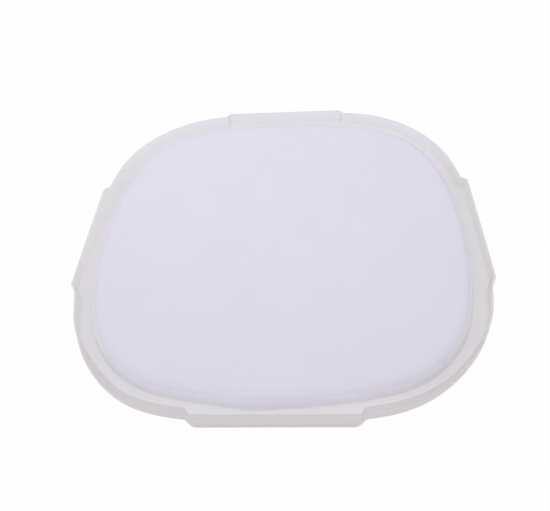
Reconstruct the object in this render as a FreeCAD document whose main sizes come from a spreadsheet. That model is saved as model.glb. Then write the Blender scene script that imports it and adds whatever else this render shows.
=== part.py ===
import FreeCAD, Part
import math
import os

import Sketcher
from FreeCAD import Vector

# Wet palette: a shallow moulded tray, a sponge that holds the water and a sheet of palette paper.
# Millimetres, +Z up, +Y away from the user. The origin is the middle of the tray's underside.

SIZES = {
    # Tray, measured over the flat faces of its tabs
    "tray_width": 180.0,
    "tray_depth": 190.5,
    "tray_height": 8.5,
    "wall": 1.0,
    "floor_thickness": 1.0,
    # Bowed sides and round corners, at the outside of the wall
    "side_radius": 230.0,
    "corner_radius": 57.0,
    # Rounding between the wall and the floor, at the inside
    "foot_radius": 2.2,
    # Straight tab in the middle of each side, with its roundings at the inside
    "side_tab_length": 66.0,
    "end_tab_length": 64.0,
    "tab_proud": 0.3,
    "tab_corner_radius": 4.0,
    "tab_edge_radius": 1.2,
    # Sponge: its gaps to the wall at the sides and at the ends, and its own bowed outline
    "sponge_side_gap": 4.3,
    "sponge_end_gap": 6.5,
    "sponge_side_radius": 190.0,
    "sponge_corner_radius": 49.0,
    "sponge_thickness": 6.0,
    "sponge_shoulder": 4.0,
    # Palette paper
    "paper_margin": 4.4,
    "paper_thickness": 0.2,
    # How far the hollow's form stands above the rim, so that the rim is cut clean
    "rim_overcut": 2.0,
}

# Bowed outlines: the names of the side's and the corner's radius, and of the sizes that set the outline
# back from the tray's width and depth
TRAY_FORM = ("side_radius", "corner_radius", ("tab_proud",), ("tab_proud",))
SPONGE_FORM = (
    "sponge_side_radius",
    "sponge_corner_radius",
    ("tab_proud", "wall", "sponge_side_gap"),
    ("tab_proud", "wall", "sponge_end_gap"),
)

TOLERANCE = 1e-4

doc = FreeCAD.newDocument("wet_palette")


def make_sheet():
    """The spreadsheet that drives the model: a name and a number in each row."""
    sheet = doc.addObject("Spreadsheet::Sheet", "sizes")
    for row, (name, size) in enumerate(SIZES.items(), start=1):
        sheet.set("A%d" % row, name)
        sheet.set("B%d" % row, str(size))
        sheet.setAlias("B%d" % row, name)
    doc.recompute()


def total(names):
    """Sum of the named sizes."""
    return sum(SIZES[name] for name in names)


def cells(names):
    """Expression for the sum of the named sizes."""
    return " + ".join("sizes." + name for name in names) or "0"


def new_sketch(body, name, role, rise_axis, rise):
    """Sketch on one of the body's own origin planes, lifted along Z by the named sizes."""
    plane = next(feature for feature in body.Origin.OriginFeatures if feature.Role == role)
    sketch = body.newObject("Sketcher::SketchObject", name)
    sketch.AttachmentSupport = [(plane, "")]
    sketch.MapMode = "FlatFace"
    sketch.setExpression("AttachmentOffset.Base." + rise_axis, cells(rise))
    return sketch


def constrain(sketch, expression, *reference):
    """Dimension of the sketch that follows an expression."""
    index = sketch.addConstraint(Sketcher.Constraint(*reference))
    sketch.setExpression("Constraints[%d]" % index, expression)


def draw_bowed_outline(sketch, form, inset):
    """Four bowed sides and four round corners, all tangent, the inset's named sizes inside the form."""
    side_name, corner_name, back_x, back_y = form
    side = SIZES[side_name]
    corner = SIZES[corner_name]
    inward = total(inset)
    # Each side's centre lies beyond the origin by this much
    beyond_x = side + total(back_x) - SIZES["tray_width"] / 2
    beyond_y = side + total(back_y) - SIZES["tray_depth"] / 2
    # The corner's centre lies equally far from both of those centres
    slope = beyond_x / beyond_y
    shift = (beyond_x**2 - beyond_y**2) / (2 * beyond_y)
    half = beyond_x + slope * shift
    rest = beyond_x**2 + shift**2 - (side - corner)**2
    corner_x = (math.sqrt(half**2 - (1 + slope**2) * rest) - half) / (1 + slope**2)
    corner_y = slope * corner_x + shift
    low = math.atan2(corner_y, corner_x + beyond_x)
    high = math.atan2(corner_y + beyond_y, corner_x)

    turns = [-low, low, high, math.pi - high, math.pi - low]
    turns += [math.pi + low, math.pi + high, 2 * math.pi - high, 2 * math.pi - low]
    centres = [
        (-beyond_x, 0),
        (corner_x, corner_y),
        (0, -beyond_y),
        (-corner_x, corner_y),
        (beyond_x, 0),
        (-corner_x, -corner_y),
        (0, beyond_y),
        (corner_x, -corner_y),
    ]
    for number, (x, y) in enumerate(centres):
        radius = (corner if number % 2 else side) - inward
        circle = Part.Circle(Vector(x, y, 0), Vector(0, 0, 1), radius)
        sketch.addGeometry(Part.ArcOfCircle(circle, turns[number], turns[number + 1]))

    start, end, centre = 1, 2, 3
    origin, x_axis, y_axis = (-1, 1), -1, -2
    right, first_corner, back, left, front = 0, 1, 2, 4, 6
    for number in range(len(centres)):
        following = (number + 1) % len(centres)
        sketch.addConstraint(Sketcher.Constraint("Tangent", number, end, following, start))
    for number in range(2, len(centres)):
        sketch.addConstraint(Sketcher.Constraint("Equal", number % 2, number))
    for number in (right, left):
        sketch.addConstraint(Sketcher.Constraint("PointOnObject", number, centre, x_axis))
    for number in (back, front):
        sketch.addConstraint(Sketcher.Constraint("PointOnObject", number, centre, y_axis))

    side_rule = "sizes.%s - (%s)" % (side_name, cells(inset))
    corner_rule = "sizes.%s - (%s)" % (corner_name, cells(inset))
    width_rule = "sizes.%s + %s - sizes.tray_width / 2" % (side_name, cells(back_x))
    depth_rule = "sizes.%s + %s - sizes.tray_depth / 2" % (side_name, cells(back_y))
    constrain(sketch, side_rule, "Radius", right, side - inward)
    constrain(sketch, corner_rule, "Radius", first_corner, corner - inward)
    constrain(sketch, width_rule, "DistanceX", right, centre, *origin, beyond_x)
    constrain(sketch, width_rule, "DistanceX", *origin, left, centre, beyond_x)
    constrain(sketch, depth_rule, "DistanceY", back, centre, *origin, beyond_y)
    constrain(sketch, depth_rule, "DistanceY", *origin, front, centre, beyond_y)


def draw_tab_elevation(sketch, length, height, radius):
    """Rectangle that stands on the sketch's X axis, with round lower corners.

    Each of the three sizes is a pair: its number and its expression."""
    half = length[0] / 2
    top = height[0]
    round_off = radius[0]
    right_round = Part.Circle(Vector(half - round_off, round_off, 0), Vector(0, 0, 1), round_off)
    left_round = Part.Circle(Vector(round_off - half, round_off, 0), Vector(0, 0, 1), round_off)
    bottom, right_corner, right, upper, left, left_corner = range(6)
    sketch.addGeometry([
        Part.LineSegment(Vector(round_off - half, 0, 0), Vector(half - round_off, 0, 0)),
        Part.ArcOfCircle(right_round, 1.5 * math.pi, 2 * math.pi),
        Part.LineSegment(Vector(half, round_off, 0), Vector(half, top, 0)),
        Part.LineSegment(Vector(half, top, 0), Vector(-half, top, 0)),
        Part.LineSegment(Vector(-half, top, 0), Vector(-half, round_off, 0)),
        Part.ArcOfCircle(left_round, math.pi, 1.5 * math.pi),
    ])

    start, end = 1, 2
    x_axis, y_axis = -1, -2
    for number, following in ((bottom, right_corner), (right_corner, right), (left, left_corner)):
        sketch.addConstraint(Sketcher.Constraint("Tangent", number, end, following, start))
    sketch.addConstraint(Sketcher.Constraint("Tangent", left_corner, end, bottom, start))
    sketch.addConstraint(Sketcher.Constraint("Coincident", right, end, upper, start))
    sketch.addConstraint(Sketcher.Constraint("Coincident", upper, end, left, start))
    sketch.addConstraint(Sketcher.Constraint("Vertical", right))
    sketch.addConstraint(Sketcher.Constraint("Vertical", left))
    sketch.addConstraint(Sketcher.Constraint("Symmetric", upper, start, upper, end, y_axis))
    sketch.addConstraint(Sketcher.Constraint("Equal", right_corner, left_corner))
    sketch.addConstraint(Sketcher.Constraint("PointOnObject", bottom, start, x_axis))
    constrain(sketch, length[1], "DistanceX", upper, end, upper, start, length[0])
    constrain(sketch, height[1], "DistanceY", bottom, end, right, end, height[0])
    constrain(sketch, radius[1], "Radius", right_corner, radius[0])


def pad(body, sketch, length, symmetric=False):
    feature = body.newObject("PartDesign::Pad", sketch.Name + "_pad")
    feature.Profile = sketch
    feature.setExpression("Length", length)
    feature.Midplane = symmetric
    doc.recompute()
    return feature


def fillet(body, base, radius, chosen):
    """Rounds the edges of the base feature that the test picks by their bounding box."""
    names = ["Edge%d" % number for number, edge in enumerate(base.Shape.Edges, start=1)
             if chosen(edge.BoundBox)]
    feature = body.newObject("PartDesign::Fillet", base.Name + "_round")
    feature.Base = (base, names)
    feature.setExpression("Radius", radius)
    doc.recompute()


def make_bowl(name, inset, rise, top):
    """Bowed block with a round foot: the tray's main form, or the hollow inside it."""
    body = doc.addObject("PartDesign::Body", name)
    sketch = new_sketch(body, name + "_outline", "XY_Plane", "z", rise)
    draw_bowed_outline(sketch, TRAY_FORM, inset)
    block = pad(body, sketch, "%s - (%s)" % (cells(top), cells(rise)))
    thickness_outside = "sizes.wall - (%s)" % cells(inset)
    foot = total(rise)
    fillet(body, block, "sizes.foot_radius + " + thickness_outside, lambda box: box.ZMax < foot + TOLERANCE)
    return body


def make_bar(name, span, tab_length, role, inset, rise, top):
    """Straight bar across the tray whose two ends are a pair of tabs, or the hollows inside them."""
    body = doc.addObject("PartDesign::Body", name)
    sketch = new_sketch(body, name + "_elevation", role, "y", rise)
    inward = total(inset)
    outside = SIZES["wall"] - inward
    thickness_outside = "sizes.wall - (%s)" % cells(inset)
    length = (SIZES[tab_length] - 2 * inward, "sizes.%s - 2 * (%s)" % (tab_length, cells(inset)))
    height = (total(top) - total(rise), "%s - (%s)" % (cells(top), cells(rise)))
    radius = (SIZES["tab_corner_radius"] + outside, "sizes.tab_corner_radius + " + thickness_outside)
    draw_tab_elevation(sketch, length, height, radius)
    bar = pad(body, sketch, "sizes.%s - 2 * (%s)" % (span, cells(inset)), symmetric=True)

    rim = total(top)
    along_x = role == "YZ_Plane"

    def on_end_face(box):
        flat = (box.XLength if along_x else box.YLength) < TOLERANCE
        return flat and box.ZMin < rim - TOLERANCE

    fillet(body, bar, "sizes.tab_edge_radius + " + thickness_outside, on_end_face)
    return body


def make_tray_form(name, inset, rise, top):
    """The bowed block and both bars as one form."""
    pieces = [
        make_bowl(name + "_bowl", inset, rise, top),
        make_bar(name + "_side_tabs", "tray_width", "side_tab_length", "YZ_Plane", inset, rise, top),
        make_bar(name + "_end_tabs", "tray_depth", "end_tab_length", "XZ_Plane", inset, rise, top),
    ]
    form = doc.addObject("Part::MultiFuse", name)
    form.Shapes = pieces
    doc.recompute()
    return form


def make_tray():
    """Moulded tray: the outer form less the same form one wall further in."""
    tray = doc.addObject("Part::Cut", "tray")
    tray.Base = make_tray_form("outside", (), (), ("tray_height",))
    tray.Tool = make_tray_form("hollow", ("wall",), ("floor_thickness",), ("tray_height", "rim_overcut"))
    doc.recompute()
    return tray


def make_sponge():
    """Soft pad that lies on the floor, with gaps to the wall and a round shoulder."""
    body = doc.addObject("PartDesign::Body", "sponge")
    sketch = new_sketch(body, "sponge_outline", "XY_Plane", "z", ("floor_thickness",))
    draw_bowed_outline(sketch, SPONGE_FORM, ())
    block = pad(body, sketch, "sizes.sponge_thickness")
    top = total(("floor_thickness", "sponge_thickness"))
    fillet(body, block, "sizes.sponge_shoulder", lambda box: box.ZMin > top - TOLERANCE)
    return body


def make_paper():
    """Thin sheet that lies on the flat of the sponge."""
    body = doc.addObject("PartDesign::Body", "paper")
    sketch = new_sketch(body, "paper_outline", "XY_Plane", "z", ("floor_thickness", "sponge_thickness"))
    draw_bowed_outline(sketch, SPONGE_FORM, ("paper_margin",))
    pad(body, sketch, "sizes.paper_thickness")
    return body


def write_parts(parts):
    """Checks the whole document, then writes one file for each sub-part."""
    doc.recompute()
    for item in doc.Objects:
        if "Invalid" in item.State or "Error" in item.State:
            raise RuntimeError("%s did not build: %s" % (item.Label, item.State))
    for part in parts:
        if part.Shape.isNull() or not part.Shape.isValid() or len(part.Shape.Solids) != 1:
            raise RuntimeError("%s is not one valid solid" % part.Label)
    os.makedirs("parts", exist_ok=True)
    for part in parts:
        part.Shape.exportStep(os.path.join("parts", part.Label + ".step"))
        box = part.Shape.optimalBoundingBox(True)
        print("%-8s %7.1f x %5.1f x %4.1f mm, %9.1f mm3"
              % (part.Label, box.XLength, box.YLength, box.ZLength, part.Shape.Volume))


make_sheet()
write_parts([make_tray(), make_sponge(), make_paper()])
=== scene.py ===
import math

import bpy
import numpy as np
from mathutils import Matrix, Vector, noise


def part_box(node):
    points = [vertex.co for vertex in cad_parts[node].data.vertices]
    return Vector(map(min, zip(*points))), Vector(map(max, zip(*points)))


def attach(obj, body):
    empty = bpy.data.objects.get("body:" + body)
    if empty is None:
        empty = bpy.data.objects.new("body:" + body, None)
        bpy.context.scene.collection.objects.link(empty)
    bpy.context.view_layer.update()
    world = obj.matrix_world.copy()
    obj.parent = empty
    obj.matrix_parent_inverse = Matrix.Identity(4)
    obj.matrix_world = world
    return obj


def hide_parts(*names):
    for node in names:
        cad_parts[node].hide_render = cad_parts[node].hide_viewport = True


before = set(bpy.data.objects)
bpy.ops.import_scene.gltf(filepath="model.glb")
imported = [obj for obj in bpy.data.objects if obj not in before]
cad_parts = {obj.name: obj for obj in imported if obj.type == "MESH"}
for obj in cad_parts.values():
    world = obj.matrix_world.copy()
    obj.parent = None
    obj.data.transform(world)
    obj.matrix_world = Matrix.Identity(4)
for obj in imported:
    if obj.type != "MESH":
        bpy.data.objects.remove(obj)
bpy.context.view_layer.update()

# Wet palette: a frosted plastic tray, a soft sponge and a sheet of palette paper. Metres.

MM = 0.001

# Tray: bowed sides and round corners at the outside of its wall, and the roundings of its foot and rim
SIDE_RADIUS = 230 * MM
CORNER_RADIUS = 57 * MM
WALL = 1 * MM
FOOT_RADIUS = 3.2 * MM
RIM_RADIUS = 0.35 * MM

# The thin moulding is slightly out of true: middle and spread of each swelling, in degrees, and how far out
TRAY_WARP = (
    (-27, 8, 0.9 * MM),
    (-47, 9, -0.45 * MM),
    (-124, 8, 0.7 * MM),
    (-158, 6, 0.3 * MM),
    (39, 13, -0.7 * MM),
    (130, 10, -0.3 * MM),
)

# The wall leans in along the front: middle and spread in degrees, and how far in at the rim
WALL_LEAN = (
    (-90, 45, 0.5 * MM),
    (-65, 9, 0.4 * MM),
    (-114, 9, 0.4 * MM),
    (-134, 11, 1.5 * MM),
)

# Straight tab in the middle of each side, with its roundings at the outside
TAB_PROUD = 0.3 * MM
SIDE_TAB_LENGTH = 66 * MM
END_TAB_LENGTH = 64 * MM
TAB_CORNER_RADIUS = 5 * MM
TAB_EDGE_RADIUS = 2.2 * MM

# The tabs blend into the bowed wall at their ends: radius at the top and at the foot, and where along a side
# the blend sets in
TAB_ROOT_RADIUS = 1.2 * MM
TAB_LOW_ROOT_RADIUS = 3.5 * MM
TAB_BLEND_START = 23 * MM
TAB_BLEND_RUN = 6 * MM

# Share of the light that passes straight through the tray
FLOOR_CLEAR = 0.85
WALL_CLEAR = 0.4

# Sponge: outline, shoulder and foot, unevenness of its top and edge, and a small bulge at the front
SPONGE_SIDE_RADIUS = 190 * MM
SPONGE_CORNER_RADIUS = 49 * MM
SPONGE_SHOULDER = 4 * MM
SPONGE_FOOT = 0.1 * MM
SPONGE_LIFT = 0.02 * MM
SPONGE_WAVE = 0.12 * MM
SPONGE_WAVE_LENGTH = 35 * MM
SPONGE_WANDER = 0.25 * MM
SPONGE_WANDER_TURNS = 3
SPONGE_BULGE = 0.9 * MM
SPONGE_BULGE_ANGLE = math.radians(-95)
SPONGE_BULGE_SPREAD = math.radians(7)

# Paper: thickness, space to the sponge, and unevenness of its edge
PAPER_SHEET = 0.05 * MM
PAPER_LIFT = 0.005 * MM
PAPER_WANDER = 0.2 * MM
PAPER_WANDER_TURNS = 5

# Places in the noise, one for each unevenness
SPONGE_TOP_SEED = 1.0
SPONGE_EDGE_SEED = 4.0
PAPER_EDGE_SEED = 9.0

# Divisions of the sponge's and the paper's grid, and of each arc of an outline
GRID_STEPS = 96
ARC_STEPS = 200

# Photograph: frame in pixels, and the camera that saw the tray
PHOTO_WIDTH = 550
FOCAL_PIXELS = 610
SENSOR_WIDTH = 36.0
CLIP_START = 0.01
CAMERA_PLACE = Vector((15.7, -201.1, 201.7)) * MM
CAMERA_YAW = -0.0956
CAMERA_PITCH = 0.8064
CAMERA_ROLL = -0.0893

# Stage: half the floor's side, how far it lies below the tray, its tone, and its share of white when it is seen
STAGE_HALF = 3.0
STAGE_DROP = 0.2 * MM
STAGE_TONE = (0.9, 0.9, 0.9, 1.0)
STAGE_WHITE = 0.95
WHITE = (1.0, 1.0, 1.0, 1.0)

# Light: strength of the room and how it changes along the axes, and the lamp above
ROOM_LEVEL = 0.73
ROOM_SLOPE = (-0.03, -0.3, 0.0)
LAMP_PLACE = Vector((-0.04, 0.08, 0.3))
LAMP_SIZE = 0.3
LAMP_POWER = 0.3


def srgb(red, green, blue):
    """Colour written as it shows on a screen, from 0 to 255, as the shader's linear values."""
    def linear(value):
        value /= 255
        return value / 12.92 if value <= 0.04045 else ((value + 0.055) / 1.055) ** 2.4
    return (linear(red), linear(green), linear(blue), 1.0)


class Graph:
    """A node tree, written as plain calls."""

    def __init__(self, tree):
        self.tree = tree

    def put(self, socket, value):
        """Link an input to another node's output, or set it to a constant."""
        if isinstance(value, bpy.types.NodeSocket):
            self.tree.links.new(value, socket)
        else:
            socket.default_value = value

    def add(self, kind, inputs=None, **settings):
        node = self.tree.nodes.new("ShaderNode" + kind)
        for name, value in settings.items():
            setattr(node, name, value)
        for name, value in (inputs or {}).items():
            self.put(node.inputs[name], value)
        return node

    def math(self, operation, first, second=0.0, third=0.0):
        node = self.add("Math", {0: first, 1: second, 2: third}, operation=operation)
        return node.outputs[0]

    def split(self, vector):
        return self.add("SeparateXYZ", {0: vector}).outputs

    def ramp(self, factor, low, high):
        """0 where factor is at or before low, 1 at or past high, and smooth between."""
        node = self.add("MapRange", {"Value": factor, "From Min": low, "From Max": high},
                        interpolation_type="SMOOTHSTEP")
        return node.outputs["Result"]

    def mix(self, factor, first, second):
        """First colour where factor is 0, second where it is 1."""
        node = self.add("Mix", {0: factor, 6: first, 7: second}, data_type="RGBA")
        return node.outputs[2]

    def noise(self, place, scale, detail=2.0, roughness=0.5):
        node = self.add("TexNoise", {
            "Vector": place, "Scale": scale, "Detail": detail, "Roughness": roughness,
        })
        return node.outputs["Fac"]

    def bump(self, height, distance, strength):
        node = self.add("Bump", {"Height": height, "Distance": distance, "Strength": strength})
        return node.outputs["Normal"]


class MaterialGraph(Graph):
    """A new material's node tree."""

    def __init__(self, name):
        self.material = bpy.data.materials.new(name)
        self.material.use_nodes = True
        super().__init__(self.material.node_tree)
        self.tree.nodes.clear()
        self.output = self.add("OutputMaterial")

    def surface(self, shader):
        self.put(self.output.inputs["Surface"], shader.outputs[0])
        return self.material


def plastic_material():
    """Frosted polypropylene: milky walls over a clear floor, with painted shade at the foot and the rim."""
    graph = MaterialGraph("frosted_plastic")
    place = graph.add("TexCoord").outputs["Object"]
    axes = graph.split(place)
    height = axes["Z"]
    along_x = graph.math("ABSOLUTE", axes["X"])
    along_y = graph.math("ABSOLUTE", axes["Y"])
    surface = graph.add("NewGeometry").outputs
    turned = graph.split(surface["Normal"])
    outward = graph.add("VectorMath", {0: surface["Normal"], 1: place}, operation="DOT_PRODUCT")
    outer = graph.ramp(outward.outputs["Value"], 10 * MM, 40 * MM)
    wall = graph.math("MAXIMUM", graph.ramp(height, 1.05 * MM, 3 * MM), outer)
    right = graph.ramp(axes["X"], -40 * MM, 80 * MM)
    back = graph.ramp(axes["Y"], 30 * MM, 85 * MM)
    cloud = graph.noise(place, scale=60.0, detail=3.0)

    # Painted light and shade on the floor and on the walls: greyer on the right, away from the light, lighter
    # and bluer at the back, a lighter floor and darker walls at the front
    floor_colour = graph.mix(right, srgb(198, 195, 203), srgb(193, 190, 197))
    floor_colour = graph.mix(back, floor_colour, srgb(214, 211, 222))
    front = graph.ramp(axes["Y"], -70 * MM, -92 * MM)
    floor_colour = graph.mix(front, floor_colour, srgb(206, 203, 213))
    wall_colour = graph.mix(right, srgb(212, 209, 213), srgb(195, 192, 192))
    # Painted shade: the walls darker at the front
    front_wall_shade = graph.mix(right, srgb(194, 190, 191), srgb(179, 175, 175))
    wall_colour = graph.mix(graph.ramp(axes["Y"], 0.0, -40 * MM), wall_colour, front_wall_shade)
    wall_colour = graph.mix(back, wall_colour, srgb(222, 219, 233))
    colour = graph.mix(wall, floor_colour, wall_colour)
    patches = graph.ramp(graph.noise(place, scale=28.0, detail=1.0), 0.35, 0.65)
    tint = graph.mix(patches, srgb(217, 220, 218), srgb(226, 217, 222))
    colour = graph.mix(graph.math("MULTIPLY", cloud, 0.4), colour, tint)

    # Painted shade and light: the outer faces darker and warmer, painted shade at the foot, the rim and the
    # ends of the back tab, painted light at the side tabs' ends
    # Painted shadow at the outer foot, darker and browner where it meets the floor
    foot_shade = graph.math("MULTIPLY", graph.ramp(height, 5 * MM, 1.8 * MM), outer)
    foot_shade = graph.math("MULTIPLY", foot_shade, graph.ramp(along_y, 40 * MM, 70 * MM))
    # Painted shade at the ends of the back tab
    back_tab_end_shade = graph.math("MULTIPLY", graph.ramp(graph.math("ABSOLUTE", turned["X"]), 0.4, 0.8), back)
    back_tab_end_shade = graph.math("MULTIPLY", back_tab_end_shade, graph.ramp(along_x, 42 * MM, 36 * MM))
    # Painted light at the outer ends of the side tabs
    side_tab_end_light = graph.ramp(graph.math("ABSOLUTE", turned["Y"]), 0.3, 0.7)
    side_tab_end_light = graph.math("MULTIPLY", side_tab_end_light, graph.ramp(along_y, 50 * MM, 40 * MM))
    side_tab_end_light = graph.math("MULTIPLY", side_tab_end_light, outer)
    # Painted shade along the rim
    rim_shade = graph.math("MULTIPLY", graph.ramp(height, 7.6 * MM, 8.4 * MM), 0.5)
    # Painted shade: the outer faces darker and warmer
    colour = graph.mix(outer, colour, srgb(206, 201, 201))
    colour = graph.mix(foot_shade, colour, srgb(184, 174, 168))
    colour = graph.mix(back_tab_end_shade, colour, srgb(207, 198, 197))
    colour = graph.mix(side_tab_end_light, colour, srgb(230, 226, 225))
    colour = graph.mix(rim_shade, colour, srgb(192, 188, 188))

    grain = graph.noise(place, scale=2500.0)
    shader = graph.add("BsdfPrincipled", {
        "Base Color": colour,
        "Roughness": graph.math("MULTIPLY_ADD", cloud, 0.12, 0.4),
        "Subsurface Weight": 1.0,
        "Subsurface Radius": (1.0, 1.0, 1.0),
        "Subsurface Scale": 8 * MM,
        "Transmission Weight": graph.math("MULTIPLY_ADD", wall, WALL_CLEAR - FLOOR_CLEAR, FLOOR_CLEAR),
        "IOR": 1.1,
        "Normal": graph.bump(grain, distance=0.02 * MM, strength=0.4),
    })
    # Light that has come into the wall leaves it unbent
    leaving = graph.add("BsdfTransparent", {"Color": srgb(250, 249, 250)})
    both = {0: surface["Backfacing"], 1: shader.outputs[0], 2: leaving.outputs[0]}
    return graph.surface(graph.add("MixShader", both))


def foam_material():
    """Fine open foam: small pores painted a little darker as shade, a slightly uneven white, and an edge
    painted lighter, as light, which also scatters light below the top.
    """
    graph = MaterialGraph("foam")
    place = graph.add("TexCoord").outputs["Object"]
    cells = graph.add("TexVoronoi", {"Vector": place, "Scale": 1400.0}).outputs["Distance"]
    pores = graph.ramp(cells, 0.5, 0.05)
    cloud = graph.noise(place, scale=90.0, detail=4.0)
    axes = graph.split(place)
    height = axes["Z"]
    # Painted light: the edge below the top is lighter than the top, most of all at the sides, to lift the shade
    # that falls there
    lower = graph.ramp(height, 6.8 * MM, 4.4 * MM)
    side = graph.ramp(graph.math("ABSOLUTE", axes["X"]), 60 * MM, 78 * MM)
    side = graph.math("MULTIPLY", side, graph.ramp(height, 6.7 * MM, 5.4 * MM))
    colour = graph.mix(lower, srgb(226, 223, 238), srgb(241, 238, 250))
    colour = graph.mix(side, colour, srgb(246, 244, 251))
    colour = graph.mix(graph.math("MULTIPLY", cloud, 0.2), colour, srgb(228, 225, 234))
    # Painted shade in the pores
    colour = graph.mix(graph.math("MULTIPLY", pores, 0.12), colour, srgb(212, 208, 216))
    relief = graph.math("SUBTRACT", cloud, pores)
    shader = graph.add("BsdfPrincipled", {
        "Base Color": colour,
        "Roughness": 0.9,
        "Specular IOR Level": 0.2,
        "Subsurface Weight": graph.ramp(height, 6.7 * MM, 5.2 * MM),
        "Subsurface Radius": (1.0, 1.0, 1.0),
        "Subsurface Scale": 3 * MM,
        "Normal": graph.bump(relief, distance=0.15 * MM, strength=0.5),
    })
    return graph.surface(shader)


def paper_material():
    """Smooth palette paper: faint fibres and a slightly bluish, cloudy white."""
    graph = MaterialGraph("palette_paper")
    place = graph.add("TexCoord").outputs["Object"]
    cloud = graph.noise(place, scale=45.0, detail=4.0, roughness=0.6)
    fibres = graph.noise(place, scale=1800.0, detail=3.0, roughness=0.7)
    shader = graph.add("BsdfPrincipled", {
        "Base Color": graph.mix(cloud, srgb(224, 221, 236), srgb(229, 226, 240)),
        "Roughness": graph.math("MULTIPLY_ADD", fibres, 0.15, 0.65),
        "Specular IOR Level": 0.25,
        "Normal": graph.bump(fibres, distance=0.04 * MM, strength=0.35),
    })
    return graph.surface(shader)


def bowed_arcs(half_width, half_depth, side, corner):
    """A quarter of a bowed outline as three arcs: centre, radius, first and last angle."""
    beyond_x = side - half_width
    beyond_y = side - half_depth
    slope = beyond_x / beyond_y
    shift = (beyond_x**2 - beyond_y**2) / (2 * beyond_y)
    half = beyond_x + slope * shift
    rest = beyond_x**2 + shift**2 - (side - corner)**2
    corner_x = (math.sqrt(half**2 - (1 + slope**2) * rest) - half) / (1 + slope**2)
    corner_y = slope * corner_x + shift
    low = math.atan2(corner_y, corner_x + beyond_x)
    high = math.atan2(corner_y + beyond_y, corner_x)
    return [
        (-beyond_x, 0, side, 0, low),
        (corner_x, corner_y, corner, low, high),
        (0, -beyond_y, side, high, math.pi / 2),
    ]


def bowed_reach(half_width, half_depth, side, corner):
    """Distance from the middle to a bowed outline, as a function of the direction's angle."""
    points = []
    for x, y, radius, start, end in bowed_arcs(half_width, half_depth, side, corner):
        turn = np.linspace(start, end, ARC_STEPS)
        points.append(np.column_stack([x + radius * np.cos(turn), y + radius * np.sin(turn)]))
    quarter = np.concatenate(points)
    angles = np.arctan2(quarter[:, 1], quarter[:, 0])
    reaches = np.hypot(quarter[:, 0], quarter[:, 1])

    def reach(angle):
        folded = math.atan2(abs(math.sin(angle)), abs(math.cos(angle)))
        return float(np.interp(folded, angles, reaches))
    return reach


def grid_directions(steps):
    """Square grid as (share of the way to the outline, angle) for each point, row by row."""
    marks = np.linspace(-1, 1, steps + 1)
    return [(max(abs(u), abs(v)), math.atan2(v, u)) for v in marks for u in marks]


def grid_border(steps):
    """Numbers of the grid's border points, once round."""
    row = steps + 1
    bottom = list(range(0, steps))
    right = [steps + row * k for k in range(0, steps)]
    top = [row * row - 1 - k for k in range(0, steps)]
    left = [row * (steps - k) for k in range(0, steps)]
    return bottom + right + top + left


def grid_faces(steps, flipped=False):
    """Faces of the grid, seen from above or, flipped, from below."""
    row = steps + 1
    faces = []
    for j in range(steps):
        for i in range(steps):
            face = [j * row + i, j * row + i + 1, (j + 1) * row + i + 1, (j + 1) * row + i]
            faces.append(face[::-1] if flipped else face)
    return faces


def ring_faces(upper, lower):
    """Faces of the band between two rings with the same number of points."""
    count = len(upper)
    faces = []
    for index in range(count):
        following = (index + 1) % count
        faces.append([upper[index], lower[index], lower[following], upper[following]])
    return faces


def make_object(name, points, faces, material):
    mesh = bpy.data.meshes.new(name)
    mesh.from_pydata(points, [], faces)
    mesh.validate()
    mesh.update()
    mesh.shade_smooth()
    mesh.materials.append(material)
    piece = bpy.data.objects.new(name, mesh)
    bpy.context.scene.collection.objects.link(piece)
    return piece


def edge_wave(angle, turns, seed):
    """Smooth unevenness from about -1 to 1 round an outline."""
    return noise.noise(Vector((turns * math.cos(angle), turns * math.sin(angle), seed)))


def tray_base():
    """Points of the tray's bowed outline, once round, and its outward directions there.

    The points are close together round the ends of the tabs."""
    half_width, half_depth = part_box("tray")[1].xy
    arcs = bowed_arcs(half_width - TAB_PROUD, half_depth - TAB_PROUD, SIDE_RADIUS, CORNER_RADIUS)

    def side_turns(tab_length, end):
        near = tab_length / 2 - 6 * MM
        far = tab_length / 2 + 3 * MM
        lengths = [
            np.linspace(0, near, 20),
            np.linspace(near, far, 60),
            np.linspace(far, end * SIDE_RADIUS, 12),
        ]
        return np.unique(np.concatenate(lengths)) / SIDE_RADIUS

    low, high = arcs[1][3:]
    turns = [
        side_turns(SIDE_TAB_LENGTH, low),
        np.linspace(low, high, 40)[1:-1],
        np.pi / 2 - side_turns(END_TAB_LENGTH, np.pi / 2 - high)[::-1],
    ]
    points = []
    outward = []
    for (x, y, radius, _, _), turn in zip(arcs, turns):
        direction = np.column_stack([np.cos(turn), np.sin(turn)])
        points.append(np.array([x, y]) + radius * direction)
        outward.append(direction)

    def all_round(quarter):
        half = np.concatenate([quarter, (quarter * [-1, 1])[-2::-1]])
        return np.concatenate([half, (half * [1, -1])[-2:0:-1]])
    points = all_round(np.concatenate(points))
    outward = all_round(np.concatenate(outward))
    return points + swelling(points, TRAY_WARP) * outward, outward


def swelling(points, parts):
    """Sum of smooth swellings round the outline, for each point."""
    angles = np.degrees(np.arctan2(points[:, 1], points[:, 0]))
    total = sum(reach * np.exp(-((angles - middle) / spread)**2) for middle, spread, reach in parts)
    return total[:, None]


def rounding(radius, height):
    """How far a quarter round of this radius stands back at a height above its lower edge."""
    rest = max(radius - height, 0.0)
    return radius - math.sqrt(radius**2 - rest**2)


def box_distance(points, half_x, half_y, radius):
    """Distance of each point to a rectangle with round corners round the middle, negative inside."""
    over = np.abs(points) - np.array([half_x - radius, half_y - radius])
    return np.hypot(*np.maximum(over, 0).T) + np.minimum(over.max(1), 0) - radius


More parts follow.
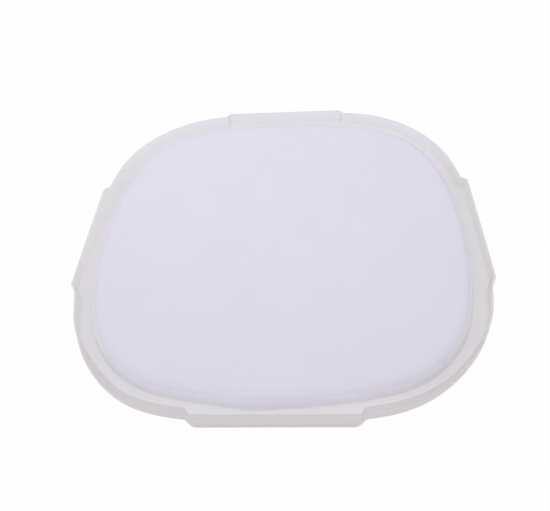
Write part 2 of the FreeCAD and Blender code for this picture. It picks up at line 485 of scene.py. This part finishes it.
def tray_slice(base, outward, height, inset):
    """Points of the tray's outline at a height above its underside or floor, this far inside its outer face."""
    half_width, half_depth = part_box("tray")[1].xy
    bowl_inset = inset + rounding(FOOT_RADIUS - inset, height)
    tab_inset = inset + rounding(TAB_CORNER_RADIUS - inset, height)
    face_inset = inset + rounding(TAB_EDGE_RADIUS - inset, height)
    edge = TAB_EDGE_RADIUS - inset
    # The tabs blend into the bowed wall at their ends, and not along their flat faces
    along = np.abs(base).min(1)
    share = min(height / (2 * FOOT_RADIUS), 1)
    root = TAB_LOW_ROOT_RADIUS + share * (TAB_ROOT_RADIUS - TAB_LOW_ROOT_RADIUS)
    blend = np.clip((along - TAB_BLEND_START) / TAB_BLEND_RUN, 0.01, 1) * (root + inset)

    def distance(reach):
        points = base + reach[:, None] * outward
        bowl = reach + bowl_inset
        side_tab = box_distance(points, half_width - face_inset, SIDE_TAB_LENGTH / 2 - tab_inset, edge)
        end_tab = box_distance(points, END_TAB_LENGTH / 2 - tab_inset, half_depth - face_inset, edge)
        tab = np.minimum(side_tab, end_tab)
        hollow = np.hypot(np.maximum(blend - bowl, 0), np.maximum(blend - tab, 0))
        return np.maximum(blend, np.minimum(bowl, tab)) - hollow

    # Halve the range in which each point meets the outline until it is found
    low = np.full(len(base), -12 * MM)
    high = np.full(len(base), 6 * MM)
    for _ in range(40):
        middle = (low + high) / 2
        outside = distance(middle) > 0
        high = np.where(outside, middle, high)
        low = np.where(outside, low, middle)
    return base + low[:, None] * outward


def make_tray(material):
    """Moulded shell: rounded foot and tabs, a thin wall, a soft rim, and the same form inside."""
    base, outward = tray_base()
    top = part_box("tray")[1].z
    foot_turns = np.radians(np.linspace(0, 90, 9))
    rim_turns = np.radians(np.linspace(15, 90, 6))
    wall_heights = np.linspace(FOOT_RADIUS, top - RIM_RADIUS, 5)
    lean = swelling(base, WALL_LEAN) * outward
    rings = []

    def add_ring(outline, z):
        share = max(0.0, (z - FOOT_RADIUS) / (top - FOOT_RADIUS))
        rings.append([(x, y, z) for x, y in outline - share * lean])

    def add_rim(first, second, turn):
        depth = RIM_RADIUS * (1 - math.cos(turn))
        add_ring(first + (second - first) * depth / WALL, top + RIM_RADIUS * (math.sin(turn) - 1))

    # Up the outside, over the rim and down the inside
    for turn in foot_turns:
        height = FOOT_RADIUS * (1 - math.cos(turn))
        add_ring(tray_slice(base, outward, height, 0), height)
    outer = tray_slice(base, outward, top, 0)
    inner = tray_slice(base, outward, top - WALL, WALL)
    for height in wall_heights[1:]:
        add_ring(outer, height)
    for turn in rim_turns:
        add_rim(outer, inner, turn)
    for turn in rim_turns[::-1]:
        add_rim(inner, outer, turn)
    for height in wall_heights[:0:-1]:
        add_ring(inner, height)
    for turn in foot_turns[::-1]:
        height = (FOOT_RADIUS - WALL) * (1 - math.cos(turn))
        add_ring(tray_slice(base, outward, height, WALL), WALL + height)

    count = len(base)
    points = [point for ring in rings for point in ring]
    faces = []
    for number in range(len(rings) - 1):
        upper = range((number + 1) * count, (number + 2) * count)
        lower = range(number * count, (number + 1) * count)
        faces += ring_faces(upper, lower)
    faces.append(list(range(count))[::-1])
    faces.append(list(range((len(rings) - 1) * count, len(rings) * count)))
    return make_object("tray_shell", points, faces, material)


def sponge_top(x, y):
    """Height of the sponge's gently uneven top, below its highest point."""
    wave = noise.noise(Vector((x / SPONGE_WAVE_LENGTH, y / SPONGE_WAVE_LENGTH, SPONGE_TOP_SEED)))
    return -0.5 * SPONGE_WAVE * (1 + wave)


def make_sponge(material):
    """Soft pad with a long round shoulder, a slightly wandering edge and a gently uneven top."""
    low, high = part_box("sponge")
    bottom = low.z + SPONGE_LIFT
    reach = bowed_reach(high.x, high.y, SPONGE_SIDE_RADIUS, SPONGE_CORNER_RADIUS)

    def outline(angle):
        wander = SPONGE_WANDER * edge_wave(angle, SPONGE_WANDER_TURNS, SPONGE_EDGE_SEED)
        bulge = SPONGE_BULGE * math.exp(-((angle - SPONGE_BULGE_ANGLE) / SPONGE_BULGE_SPREAD)**2)
        return reach(angle) + wander + bulge

    def at(angle, distance, z):
        return (distance * math.cos(angle), distance * math.sin(angle), z)

    directions = grid_directions(GRID_STEPS)
    points = []
    for share, angle in directions:
        distance = share * (outline(angle) - SPONGE_SHOULDER)
        x, y, z = at(angle, distance, high.z)
        points.append((x, y, z + sponge_top(x, y)))
    faces = grid_faces(GRID_STEPS)
    border = grid_border(GRID_STEPS)

    # Shoulder and small foot as rings of (distance inside the outline, height below the top)
    profile = []
    drop = bottom + SPONGE_FOOT - high.z
    for turn in np.radians(np.linspace(8, 86, 14)):
        profile.append((SPONGE_SHOULDER * (1 - math.sin(turn)), drop * (1 - math.cos(turn))))
    for turn in np.radians(np.linspace(0, 90, 5)):
        profile.append((SPONGE_FOOT * (1 - math.cos(turn)), drop - SPONGE_FOOT * math.sin(turn)))
    previous = border
    for inward, fall in profile:
        ring = []
        for index in border:
            angle = directions[index][1]
            settle = (points[index][2] - high.z) * max(0.0, 1 + fall / (high.z - bottom))
            ring.append(len(points))
            points.append(at(angle, outline(angle) - inward, high.z + fall + settle))
        faces += ring_faces(previous, ring)
        previous = ring

    # Flat underside, just clear of the tray's floor
    base = len(points)
    for share, angle in directions:
        points.append(at(angle, share * (outline(angle) - 2 * SPONGE_FOOT), bottom))
    faces += [[base + index for index in face] for face in grid_faces(GRID_STEPS, flipped=True)]
    faces += ring_faces(previous, [base + index for index in border])
    return make_object("sponge_pad", points, faces, material)


def make_paper(material):
    """Thin sheet that follows the top of the sponge."""
    low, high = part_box("paper")
    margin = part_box("sponge")[1].x - high.x
    reach = bowed_reach(high.x, high.y, SPONGE_SIDE_RADIUS - margin, SPONGE_CORNER_RADIUS - margin)
    points = []
    for share, angle in grid_directions(GRID_STEPS):
        wander = PAPER_WANDER * (1 + edge_wave(angle, PAPER_WANDER_TURNS, PAPER_EDGE_SEED))
        distance = share * (reach(angle) - wander)
        x = distance * math.cos(angle)
        y = distance * math.sin(angle)
        points.append((x, y, low.z + sponge_top(x, y) + PAPER_LIFT))
    sheet = make_object("palette_sheet", points, grid_faces(GRID_STEPS), material)
    border = set(grid_border(GRID_STEPS))
    for edge in sheet.data.edges:
        edge.use_edge_sharp = border.issuperset(edge.vertices)
    thickness = sheet.modifiers.new("thickness", "SOLIDIFY")
    thickness.thickness = PAPER_SHEET
    thickness.offset = 1.0
    return sheet


def make_camera():
    """The photograph's camera, from its place and its three angles."""
    yaw, pitch, roll = CAMERA_YAW, CAMERA_PITCH, CAMERA_ROLL
    forward = Vector((math.sin(yaw) * math.cos(pitch), math.cos(yaw) * math.cos(pitch), -math.sin(pitch)))
    level = Vector((math.cos(yaw), -math.sin(yaw), 0.0))
    upright = level.cross(forward)
    right = math.cos(roll) * level + math.sin(roll) * upright
    up = -math.sin(roll) * level + math.cos(roll) * upright
    data = bpy.data.cameras.new("camera")
    data.sensor_width = SENSOR_WIDTH
    data.lens = SENSOR_WIDTH * FOCAL_PIXELS / PHOTO_WIDTH
    data.clip_start = CLIP_START
    camera = bpy.data.objects.new("camera", data)
    turn = Matrix((right, up, -forward)).transposed().to_4x4()
    camera.matrix_world = Matrix.Translation(CAMERA_PLACE) @ turn
    bpy.context.scene.collection.objects.link(camera)
    bpy.context.scene.camera = camera


def seen_directly(graph):
    """1 for rays from the camera, a mirror or clear plastic, else 0."""
    path = graph.add("LightPath").outputs
    seen = graph.math("MAXIMUM", path["Is Camera Ray"], path["Is Glossy Ray"])
    return graph.math("MAXIMUM", seen, path["Is Transmission Ray"])


def make_floor():
    """Pale floor that shows as white and keeps a faint shadow."""
    graph = MaterialGraph("studio_floor")
    matte = graph.add("BsdfDiffuse", {"Color": STAGE_TONE})
    glow = graph.add("Emission", {"Color": WHITE, "Strength": 1.0})
    share = graph.math("MULTIPLY", seen_directly(graph), STAGE_WHITE)
    both = graph.add("MixShader", {0: share, 1: matte.outputs[0], 2: glow.outputs[0]})
    half = STAGE_HALF
    points = [(-half, -half, 0), (half, -half, 0), (half, half, 0), (-half, half, 0)]
    floor = make_object("studio_floor", points, [[0, 1, 2, 3]], graph.surface(both))
    floor.location.z = -STAGE_DROP


def make_light():
    """A bright room, lightest in front, with a large soft lamp above."""
    world = bpy.data.worlds.new("room")
    world.use_nodes = True
    bpy.context.scene.world = world
    graph = Graph(world.node_tree)
    direction = graph.add("TexCoord").outputs["Generated"]
    slope = graph.add("VectorMath", {0: direction, 1: ROOM_SLOPE}, operation="DOT_PRODUCT")
    room = graph.math("ADD", slope.outputs["Value"], ROOM_LEVEL)
    level = graph.add("MapRange", {"Value": seen_directly(graph), "To Min": room, "To Max": 1.0})
    background = graph.tree.nodes["Background"]
    graph.put(background.inputs["Color"], WHITE)
    graph.put(background.inputs["Strength"], level.outputs["Result"])

    lamp = bpy.data.lights.new("soft_lamp", "AREA")
    lamp.size = LAMP_SIZE
    lamp.energy = LAMP_POWER
    holder = bpy.data.objects.new("soft_lamp", lamp)
    holder.location = LAMP_PLACE
    holder.rotation_euler = (-LAMP_PLACE).to_track_quat("-Z", "Y").to_euler()
    bpy.context.scene.collection.objects.link(holder)


make_camera()
make_floor()
make_light()

tray = make_tray(plastic_material())
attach(tray, "tray")
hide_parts("tray")

sponge = make_sponge(foam_material())
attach(sponge, "sponge")
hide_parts("sponge")

paper = make_paper(paper_material())
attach(paper, "paper")
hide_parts("paper")

bpy.context.scene.view_settings.view_transform = "Standard"
